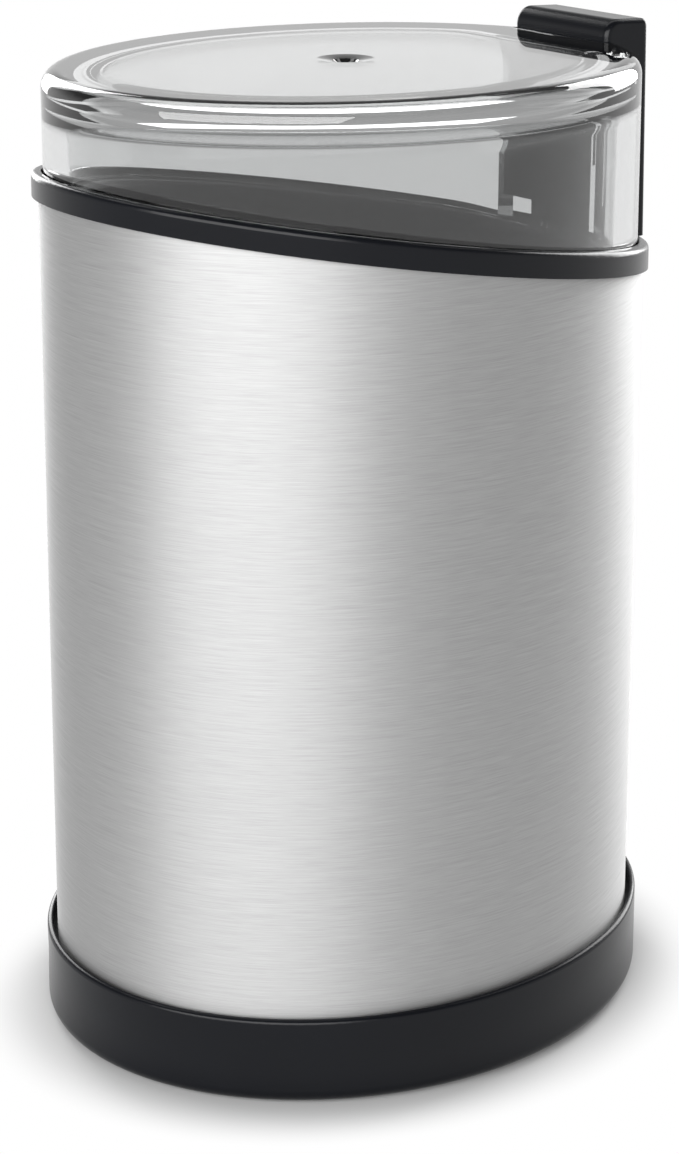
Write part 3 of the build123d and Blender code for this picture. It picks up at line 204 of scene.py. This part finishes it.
material, tree, output = new_material("matt_floor_white_and_painted_shade")
paint = node(tree, "ShaderNodeBsdfDiffuse", {"Color": linear(FLOOR_PAINT_AND_SHADE)})
glow = node(tree, "ShaderNodeEmission", {"Color": linear(WHITE), "Strength": 1.0})
path = node(tree, "ShaderNodeLightPath")
place = node(tree, "ShaderNodeTexCoord")
oval = node(tree, "ShaderNodeVectorMath", {0: place.outputs["Object"], 1: (1 / base_high.x, 1 / base_high.y, 1)},
            operation="MULTIPLY")
distance = node(tree, "ShaderNodeVectorMath", {0: oval.outputs["Vector"]}, operation="LENGTH")
far = node(tree, "ShaderNodeMapRange", {"Value": distance.outputs["Value"], "From Min": SHADE_FADE_START,
                                        "From Max": SHADE_FADE_END}, interpolation_type="SMOOTHSTEP")
seen = node(tree, "ShaderNodeMath", {0: path.outputs["Is Camera Ray"], 1: path.outputs["Is Transmission Ray"]},
            operation="MAXIMUM")
seen = node(tree, "ShaderNodeMath", {0: seen.outputs[0], 1: path.outputs["Is Glossy Ray"]}, operation="MAXIMUM")
# painted shade: grey paint close round the base, white further out
fade = node(tree, "ShaderNodeMath", {0: seen.outputs[0], 1: far.outputs["Result"]}, operation="MULTIPLY")
mixed = node(tree, "ShaderNodeMixShader", {0: fade.outputs[0], 1: paint.outputs["BSDF"], 2: glow.outputs["Emission"]})
tree.links.new(mixed.outputs["Shader"], output.inputs["Surface"])
mesh.materials.append(material)
print("floor", FLOOR_HALF * 2, "m wide")

# %% [markdown]
# Four area lamps light the grinder. Each is placed by its azimuth round the grinder, its distance and its height,
# and is turned to face the middle of the body. An upright steel wall mirrors the lamps in upright bands, so the
# width of a lamp sets the width of its band on the sleeve: the key makes the broad one, the back lamp brightens the
# right side and the edge lamp draws a thin line at the left. The lamp overhead is a long strip a little behind the
# grinder: its light falls forward on the lid, and the lid's round edge bends its image into thin bright lines. The
# other three are hidden from rays that pass through the lid, where they would show as white squares.

# %% Lamps
def softbox(name, azimuth, distance, height, width, tall, watts):
    """A soft area lamp that faces the grinder, placed in degrees and metres."""
    lamp = bpy.data.objects.new(name, bpy.data.lights.new(name, "AREA"))
    lamp.data.shape = "RECTANGLE"
    lamp.data.size = width
    lamp.data.size_y = tall
    lamp.data.energy = watts
    turn = radians(azimuth)
    lamp.location = (distance * sin(turn), -distance * cos(turn), height)
    lamp.rotation_euler = (centre - lamp.location).to_track_quat("-Z", "Y").to_euler()
    scene.collection.objects.link(lamp)
    return lamp


softbox("top_softbox", azimuth=150, distance=0.3, height=1.0, width=1.3, tall=0.35, watts=3.4)
for lamp in (softbox("key_softbox", azimuth=-56.5, distance=0.85, height=0.41, width=1.28, tall=0.58, watts=14.5),
             softbox("back_softbox", azimuth=100, distance=0.85, height=0.4, width=0.45, tall=0.7, watts=8.0),
             softbox("edge_softbox", azimuth=172, distance=0.85, height=0.4, width=0.3, tall=0.7, watts=4.5)):
    lamp.visible_transmission = False
print("lamps", [item.name for item in bpy.data.lights])

# %% [markdown]
# ## Oval rings
# The body, the lid and its hollow are all stacks of oval rings. Equal circles are stacked and bridged into a straight
# tube first, because circles that lie one over the other can't be joined askew. Then each ring is stretched into its
# oval, cut flat on the button's side where the hollow has a flat wall, and set at its height, level or on the slope
# of the rim. A round edge is simply a few rings close together.

# %% Ring helpers
RING_STEPS = 256
EDGE_STEPS = 8                   # rings in a rounded edge
FLAT_BLEND = 2.0 * MM            # how softly a flat runs into the oval
MERGE_DISTANCE = 0.001 * MM
SHARP_ANGLE = radians(32)        # edges that turn more than this stay sharp in the shading


def ring(inset, height, sloped=False, flat=None):
    """An oval ring at a distance inside the sleeve's face."""
    return {"half": (long_half - inset, short_half - inset), "height": height, "sloped": sloped, "flat": flat}


def stack(bm, rings, closed=False):
    """A skin through rings; returns the edges of its first and last ring."""
    loops = [bmesh.ops.create_circle(bm, segments=RING_STEPS, radius=1.0)["verts"] for _ in rings]
    for level, verts in enumerate(loops):
        bmesh.ops.translate(bm, vec=(0, 0, level), verts=verts)
    edges = [list({edge for vert in verts for edge in vert.link_edges}) for verts in loops]
    for first, second in zip(edges, edges[1:] + (edges[:1] if closed else [])):
        bmesh.ops.bridge_loops(bm, edges=first + second)
    for level, (verts, shape) in enumerate(zip(loops, rings)):
        bmesh.ops.scale(bm, vec=(*shape["half"], 1.0), verts=verts)
        if shape["flat"] is not None:
            for vert in verts:
                share = min(max(0.5 + (shape["flat"] - vert.co.x) / FLAT_BLEND / 2, 0.0), 1.0)
                vert.co.x = shape["flat"] + (vert.co.x - shape["flat"]) * share - FLAT_BLEND * share * (1 - share)
        lean = Matrix.Translation((0, 0, shape["height"] - level))
        lean[2][0] = -tan(RIM_TILT) if shape["sloped"] else 0.0
        bmesh.ops.transform(bm, matrix=lean, verts=verts)
    return edges[0], edges[-1]


def finished(name, bm, material, body, slot, *nodes):
    """Turn a bmesh into a piece that rides on a body and stands for CAD nodes."""
    bmesh.ops.remove_doubles(bm, verts=bm.verts, dist=MERGE_DISTANCE)
    bmesh.ops.recalc_face_normals(bm, faces=bm.faces)
    mesh = bpy.data.meshes.new(name)
    bm.to_mesh(mesh)
    bm.free()
    mesh.shade_smooth()
    mesh.set_sharp_from_angle(angle=SHARP_ANGLE)
    mesh.materials.append(material)
    piece = bpy.data.objects.new(name, mesh)
    scene.collection.objects.link(piece)
    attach(piece, body)
    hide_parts(*nodes)
    print(name, len(mesh.polygons), "faces on", body)
    return piece


# %% [markdown]
# ## Brushed stainless steel
# The sleeve is stainless sheet that was brushed along its length before it was rolled, so fine scratches run level
# round the body. They blur reflections up and down but hardly sideways: that is anisotropy, and its direction comes
# from a map that is unrolled from the wall. Two noises stretched along that map draw the strokes: short fine ones
# and a few longer, wider ones. They change the colour and the gloss a little and give a slight bump. Real strokes
# are finer than a pixel, so these are drawn as coarse as they need to be to show.

# %% Brushed stainless steel
STROKE_LONG, STROKE_WIDE = 7.0 * MM, 0.1 * MM
STREAK_LONG, STREAK_WIDE = 20.0 * MM, 0.28 * MM
STREAK_SHARE = 0.3               # of the wide streaks in the mix
STEEL_DARK, STEEL_LIGHT = "#a5a5a5", "#b5b5b5"


def brushed_stainless():
    """Stainless sheet, brushed round the body: upright blurred reflections and level strokes."""
    material, tree, output = new_material("brushed_stainless_steel")
    wall = node(tree, "ShaderNodeUVMap", uv_map="unrolled")
    fine_place = node(tree, "ShaderNodeMapping", {"Vector": wall.outputs["UV"],
                                                  "Scale": (1 / STROKE_LONG, 1 / STROKE_WIDE, 1)})
    fine = node(tree, "ShaderNodeTexNoise", {"Vector": fine_place.outputs["Vector"], "Scale": 1.0, "Detail": 3.0,
                                             "Roughness": 0.65}, noise_dimensions="2D")
    wide_place = node(tree, "ShaderNodeMapping", {"Vector": wall.outputs["UV"],
                                                  "Scale": (1 / STREAK_LONG, 1 / STREAK_WIDE, 1)})
    wide = node(tree, "ShaderNodeTexNoise", {"Vector": wide_place.outputs["Vector"], "Scale": 1.0, "Detail": 2.0},
                noise_dimensions="2D")
    both = node(tree, "ShaderNodeMix", {"Factor": STREAK_SHARE, "A": fine.outputs["Fac"], "B": wide.outputs["Fac"]})
    tone = node(tree, "ShaderNodeMapRange", {"Value": both.outputs["Result"], "From Min": 0.3, "From Max": 0.7})
    colour = node(tree, "ShaderNodeMix", {"Factor": tone.outputs["Result"], "A": linear(STEEL_DARK),
                                          "B": linear(STEEL_LIGHT)}, data_type="RGBA")
    gloss = node(tree, "ShaderNodeMapRange", {"Value": tone.outputs["Result"], "To Min": 0.61, "To Max": 0.57})
    bump = node(tree, "ShaderNodeBump", {"Height": both.outputs["Result"], "Strength": 0.05, "Distance": 0.02 * MM})
    along = node(tree, "ShaderNodeTangent", direction_type="UV_MAP", uv_map="unrolled")
    shader = node(tree, "ShaderNodeBsdfPrincipled", {
        "Base Color": colour.outputs["Result"], "Metallic": 1.0, "Roughness": gloss.outputs["Result"],
        "Normal": bump.outputs["Normal"], "Tangent": along.outputs["Tangent"], "Anisotropic": 0.6,
        "Anisotropic Rotation": 0.25})
    tree.links.new(shader.outputs["BSDF"], output.inputs["Surface"])
    return material


# %% [markdown]
# ## Steel sleeve
# On the real grinder this is one sheet, rolled into an oval tube and cut on a slope at the top. Here it is four
# rings: the outer and inner face, level at the bottom and sloped at the top. The unrolled map is worked out from
# each corner's place, as distance round the wall and height, in metres, so a stroke's size is a real size.

# %% Steel sleeve
SLEEVE_WALL = 0.6 * MM
SLEEVE_TUCK = 1.45 * MM          # the wall runs on this far up inside the band
SLEEVE_TOP = RIM_HEIGHT + SLEEVE_TUCK


def unroll(mesh):
    """Give a wall a map of the distance round it and the height, with the seam at the back."""
    layer = mesh.uv_layers.new(name="unrolled")
    radius = (long_half + short_half) / 2
    for face in mesh.polygons:
        middle = atan2(face.center.x, -face.center.y)
        for index in face.loop_indices:
            place = mesh.vertices[mesh.loops[index].vertex_index].co
            turn = atan2(place.x, -place.y)
            turn += 2 * pi * round((middle - turn) / (2 * pi))
            layer.data[index].uv = (turn * radius, place.z)


bm = bmesh.new()
stack(bm, [ring(0, sleeve_low.z), ring(0, SLEEVE_TOP, sloped=True), ring(SLEEVE_WALL, SLEEVE_TOP, sloped=True),
           ring(SLEEVE_WALL, sleeve_low.z)], closed=True)
sleeve = finished("steel_sleeve_brushed", bm, brushed_stainless(), "housing", "brushed_stainless", "steel_sleeve")
unroll(sleeve.data)

# %% [markdown]
# ## Clear plastic
# The lid is moulded in a clear styrene plastic. It bends light a little more than acrylic does, so the thick wall
# shows bright and dark bands at its edges. A trace of grey in it comes from the resin. Moulded gloss isn't perfect:
# a very faint waviness in the roughness keeps reflections from looking like optical glass.

# %% Clear plastic
WAVE_SIZE = 14 * MM


def clear_styrene():
    """Clear moulded styrene copolymer: strong refraction, slight grey tint and polished faces."""
    material, tree, output = new_material("clear_styrene_plastic")
    place = node(tree, "ShaderNodeTexCoord")
    waves = node(tree, "ShaderNodeTexNoise", {"Vector": place.outputs["Object"], "Scale": 1 / WAVE_SIZE,
                                              "Detail": 2.0})
    gloss = node(tree, "ShaderNodeMapRange", {"Value": waves.outputs["Fac"], "To Min": 0.0, "To Max": 0.012})
    shader = node(tree, "ShaderNodeBsdfPrincipled", {
        "Base Color": linear("#dcdddd"), "Roughness": gloss.outputs["Result"], "IOR": 1.57,
        "Transmission Weight": 1.0})
    tree.links.new(shader.outputs["BSDF"], output.inputs["Surface"])
    return material


# %% [markdown]
# ## Lid
# The lid is a thick cap: an oval outside with a small round edge on top, and a hollow with a flat wall towards the
# button and a much larger round edge under the roof. A shallow dish in the middle of the roof holds the mark of the
# moulding gate. One stack of rings runs from the hollow round the foot to the outside.

# %% Lid
LID_INSET = 0.8 * MM
LID_WALL = 4.4 * MM
LID_ROOF = 3.2 * MM
LID_TOP_RADIUS = 3.0 * MM
LID_INNER_RADIUS = 6.5 * MM
LID_SEAT = 3.0 * MM
LID_FOOT = RIM_HEIGHT + LID_SEAT  # the sloped foot of the wall, on the centre line
FOOT_EDGE = 0.25 * MM
HOLD = 0.3 * MM                  # rings this far past a rounded edge keep the flat face flat in the shading
NOTCH_GAP = 0.35 * MM
NOTCH_WALL = 3.5 * MM
DISH_RADIUS, DISH_DEPTH = 4.7 * MM, 0.35 * MM
GATE_RADIUS, GATE_FLOOR, GATE_DEPTH = 2.3 * MM, 1.4 * MM, 0.8 * MM
notch_x = button_low.x - NOTCH_GAP
notch_half = button_high.y + NOTCH_GAP
hollow_flat = notch_x - NOTCH_WALL
roof_under = lid_high.z - LID_ROOF


def round_ring(radius, height):
    """A round ring on the axis."""
    return {"half": (radius, radius), "height": height, "sloped": False, "flat": None}


quarter = [pi / 2 * step / EDGE_STEPS for step in range(EDGE_STEPS + 1)]
roof_inset = LID_INSET + LID_WALL + LID_INNER_RADIUS
hollow = [ring(roof_inset + HOLD, roof_under, flat=hollow_flat - LID_INNER_RADIUS - HOLD)]
hollow += [ring(roof_inset - LID_INNER_RADIUS * cos(turn), roof_under - LID_INNER_RADIUS * (1 - sin(turn)),
                flat=hollow_flat - LID_INNER_RADIUS * (1 - cos(turn))) for turn in reversed(quarter)]
foot = [ring(LID_INSET + LID_WALL, LID_FOOT, sloped=True, flat=hollow_flat),
        ring(LID_INSET + FOOT_EDGE, LID_FOOT, sloped=True), ring(LID_INSET, LID_FOOT + FOOT_EDGE, sloped=True)]
outside = [ring(LID_INSET + LID_TOP_RADIUS * (1 - cos(turn)), lid_high.z - LID_TOP_RADIUS * (1 - sin(turn)))
           for turn in quarter] + [ring(LID_INSET + LID_TOP_RADIUS + HOLD, lid_high.z)]
mark = [round_ring(DISH_RADIUS + HOLD, lid_high.z), round_ring(DISH_RADIUS, lid_high.z),
        round_ring(GATE_RADIUS, lid_high.z - DISH_DEPTH),
        round_ring(GATE_FLOOR, lid_high.z - DISH_DEPTH - GATE_DEPTH)]
bm = bmesh.new()
for end_ring in stack(bm, hollow + foot + outside + mark):
    bmesh.ops.edgeloop_fill(bm, edges=end_ring)
styrene = clear_styrene()
lid = finished("lid_clear", bm, styrene, "lid", "clear_plastic", "lid")

# %% [markdown]
# The notch for the button is cut out with a Boolean modifier, which is applied, because a straight cut is hard to
# draw in rings.

# %% Notch in the lid
CUT_REACH = 30 * MM


def block(name, low, high):
    """A box between two corners, for a Boolean cut."""
    bm = bmesh.new()
    bmesh.ops.create_cube(bm, size=1.0)
    bmesh.ops.scale(bm, vec=high - low, verts=bm.verts)
    bmesh.ops.translate(bm, vec=(low + high) / 2, verts=bm.verts)
    mesh = bpy.data.meshes.new(name)
    bm.to_mesh(mesh)
    bm.free()
    made = bpy.data.objects.new(name, mesh)
    scene.collection.objects.link(made)
    return made


def carve(piece, tool, operation):
    """Apply a Boolean with a tool and delete the tool."""
    change = piece.modifiers.new("carve", "BOOLEAN")
    change.operation = operation
    change.object = tool
    change.solver = "EXACT"
    carved = bpy.data.meshes.new_from_object(piece.evaluated_get(bpy.context.evaluated_depsgraph_get()))
    piece.modifiers.clear()
    old, piece.data = piece.data, carved
    mesh_name = old.name
    bpy.data.meshes.remove(old)
    carved.name = mesh_name
    bpy.data.objects.remove(tool)
    carved.shade_smooth()
    carved.set_sharp_from_angle(angle=SHARP_ANGLE)


notch = block("notch_tool", Vector((notch_x, -notch_half, lid_low.z - CUT_REACH)),
              Vector((notch_x + CUT_REACH, notch_half, lid_high.z + CUT_REACH)))
carve(lid, notch, "DIFFERENCE")
print("lid with notch", len(lid.data.polygons), "faces")

# %% [markdown]
# Two short ribs in the notch guide the button, which has a groove in each side for them. They are boxes that are
# joined to the lid's wall.

# %% Guide ribs
RIB_SETBACK, RIB_WIDTH = 1.2 * MM, 2.0 * MM
RIB_PROUD, RIB_SINK = 1.0 * MM, 0.6 * MM
RIB_DROP, RIB_LENGTH = 9.0 * MM, 12.0 * MM
for side in (-1, 1):
    faces_y = sorted((side * (notch_half - RIB_PROUD), side * (notch_half + RIB_SINK)))
    low = Vector((notch_x + RIB_SETBACK, faces_y[0], lid_high.z - RIB_DROP - RIB_LENGTH))
    high = Vector((notch_x + RIB_SETBACK + RIB_WIDTH, faces_y[1], lid_high.z - RIB_DROP))
    carve(lid, block("rib_tool", low, high), "UNION")
print("lid with ribs", len(lid.data.polygons), "faces")

# %% [markdown]
# ## Black ABS
# Band, base and push button are moulded in black ABS. The mould was lightly blasted, so the face has a fine even
# grain that softens highlights into a satin sheen, and the colour is a very dark blue-grey, not pure black. The
# grain is drawn as bump, coarser than a real one so that it shows, with slow changes in gloss from the flow of the
# plastic. The specular level is below what ABS has, to match the deep black of the photograph.

# %% Black ABS
ABS_GRAIN = 0.35 * MM
ABS_FLOW = 22 * MM


def black_abs():
    """Moulded black ABS: satin, with a fine blasted grain."""
    material, tree, output = new_material("black_abs")
    place = node(tree, "ShaderNodeTexCoord")
    grain = node(tree, "ShaderNodeTexNoise", {"Vector": place.outputs["Object"], "Scale": 1 / ABS_GRAIN,
                                              "Detail": 2.0})
    flow = node(tree, "ShaderNodeTexNoise", {"Vector": place.outputs["Object"], "Scale": 1 / ABS_FLOW, "Detail": 1.0})
    colour = node(tree, "ShaderNodeMix", {"Factor": flow.outputs["Fac"], "A": linear("#07080c"),
                                          "B": linear("#0b0d12")}, data_type="RGBA")
    gloss = node(tree, "ShaderNodeMapRange", {"Value": flow.outputs["Fac"], "To Min": 0.2, "To Max": 0.28})
    bump = node(tree, "ShaderNodeBump", {"Height": grain.outputs["Fac"], "Strength": 0.05, "Distance": 0.03 * MM})
    shader = node(tree, "ShaderNodeBsdfPrincipled", {
        "Base Color": colour.outputs["Result"], "Roughness": gloss.outputs["Result"], "IOR": 1.54,
        "Specular IOR Level": 0.17, "Normal": bump.outputs["Normal"]})
    tree.links.new(shader.outputs["BSDF"], output.inputs["Surface"])
    return material


# %% [markdown]
# ## Finishes of the other pieces
# The bowl and the blade show through the lid, and the rest is inside the body or under it. Each still gets the
# finish of its real material. They share one recipe: a base colour that a noise varies, a roughness and a bump from
# the same noise, at the grain size of that material. The recipe is called once for each remaining material of the
# record, and once for the CAD sleeve, which is hidden behind its brushed copy.

# %% Grained finishes
GLOSS_SPREAD = 0.15              # share by which the roughness varies


def grained(name, dark, light, metallic, roughness, grain, bump_depth, stretch=(1, 1, 1)):
    """A finish whose colour, gloss and bump follow one noise of a real grain size."""
    material, tree, output = new_material(name)
    place = node(tree, "ShaderNodeTexCoord")
    scaled = node(tree, "ShaderNodeMapping", {"Vector": place.outputs["Object"],
                                              "Scale": [part / grain for part in stretch]})
    noise = node(tree, "ShaderNodeTexNoise", {"Vector": scaled.outputs["Vector"], "Scale": 1.0, "Detail": 3.0})
    colour = node(tree, "ShaderNodeMix", {"Factor": noise.outputs["Fac"], "A": linear(dark), "B": linear(light)},
                  data_type="RGBA")
    gloss = node(tree, "ShaderNodeMapRange", {"Value": noise.outputs["Fac"], "To Min": roughness * (1 + GLOSS_SPREAD),
                                              "To Max": roughness * (1 - GLOSS_SPREAD)})
    bump = node(tree, "ShaderNodeBump", {"Height": noise.outputs["Fac"], "Strength": 0.2, "Distance": bump_depth})
    shader = node(tree, "ShaderNodeBsdfPrincipled", {
        "Base Color": colour.outputs["Result"], "Metallic": metallic, "Roughness": gloss.outputs["Result"],
        "Normal": bump.outputs["Normal"]})
    tree.links.new(shader.outputs["BSDF"], output.inputs["Surface"])
    return material


finishes = {
    "black_abs": black_abs(),
    "clear_plastic": styrene,
    "brushed_stainless": grained("brushed_stainless_sheet", STEEL_DARK, STEEL_LIGHT, 1.0, 0.59, STROKE_WIDE,
                                 0.01 * MM, stretch=(0.02, 0.02, 1)),
    "pressed_stainless": grained("pressed_stainless_steel", "#b9b8b6", "#d4d3d1", 1.0, 0.24, 0.8 * MM, 0.01 * MM,
                                 stretch=(0.08, 1, 1)),
    "grey_nylon": grained("glass_filled_nylon", "#47484a", "#56585a", 0.0, 0.55, 0.7 * MM, 0.03 * MM),
    "switch_resin": grained("phenolic_resin", "#121214", "#1c1c1f", 0.0, 0.4, 0.5 * MM, 0.02 * MM),
    "black_rubber": grained("black_rubber", "#131313", "#1f1f1f", 0.0, 0.75, 0.6 * MM, 0.05 * MM),
    "plated_steel": grained("zinc_plated_steel", "#9fa1a4", "#c3c6c9", 1.0, 0.32, 0.9 * MM, 0.01 * MM),
    "lamination_steel": grained("lamination_steel", "#5b5c5e", "#7d7f82", 1.0, 0.5, 0.5 * MM, 0.04 * MM,
                                stretch=(0.05, 0.05, 1)),
    "copper_wire": grained("enamelled_copper_wire", "#7a3a17", "#b4622c", 0.8, 0.35, 0.6 * MM, 0.15 * MM,
                           stretch=(0.1, 0.1, 1)),
    "copper_bars": grained("turned_copper", "#b36a45", "#d08a62", 1.0, 0.28, 0.3 * MM, 0.01 * MM,
                           stretch=(0.1, 0.1, 1)),
    "cast_aluminium": grained("die_cast_aluminium", "#a5a7aa", "#c4c6c8", 1.0, 0.45, 1.2 * MM, 0.05 * MM),
    "sintered_bronze": grained("sintered_bronze", "#8a6634", "#b08a52", 1.0, 0.48, 0.25 * MM, 0.03 * MM),
    "brass_sheet": grained("stamped_brass", "#b2934d", "#cfb26c", 1.0, 0.3, 0.8 * MM, 0.01 * MM),
    "carbon": grained("pressed_carbon", "#101010", "#1d1d1d", 0.0, 0.6, 0.3 * MM, 0.03 * MM),
}
print(len(finishes), "finishes")

# %% [markdown]
# The record names the material of every piece. Each CAD node takes its finish from there, the hidden ones too.

# %% Give every CAD node its finish
for subpart in frame["record"]["subparts"]:
    mesh = frame["nodes"][subpart["node"]].data
    mesh.materials.clear()
    mesh.materials.append(finishes[subpart["material_slot"]])

# %% [markdown]
# ## Plunger spring
# When the button goes down, the switch plunger follows it and the spring under its flange gets shorter. A rigid
# piece can't do that. Here the spring's mesh is copied into a piece of its own, which rides on the housing.

# %% Plunger spring
bm = bmesh.new()
bm.from_mesh(frame["nodes"]["plunger_spring"].data)
spring = finished("plunger_spring_coil", bm, finishes["plated_steel"], "housing", "plated_steel", "plunger_spring")
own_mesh(spring)
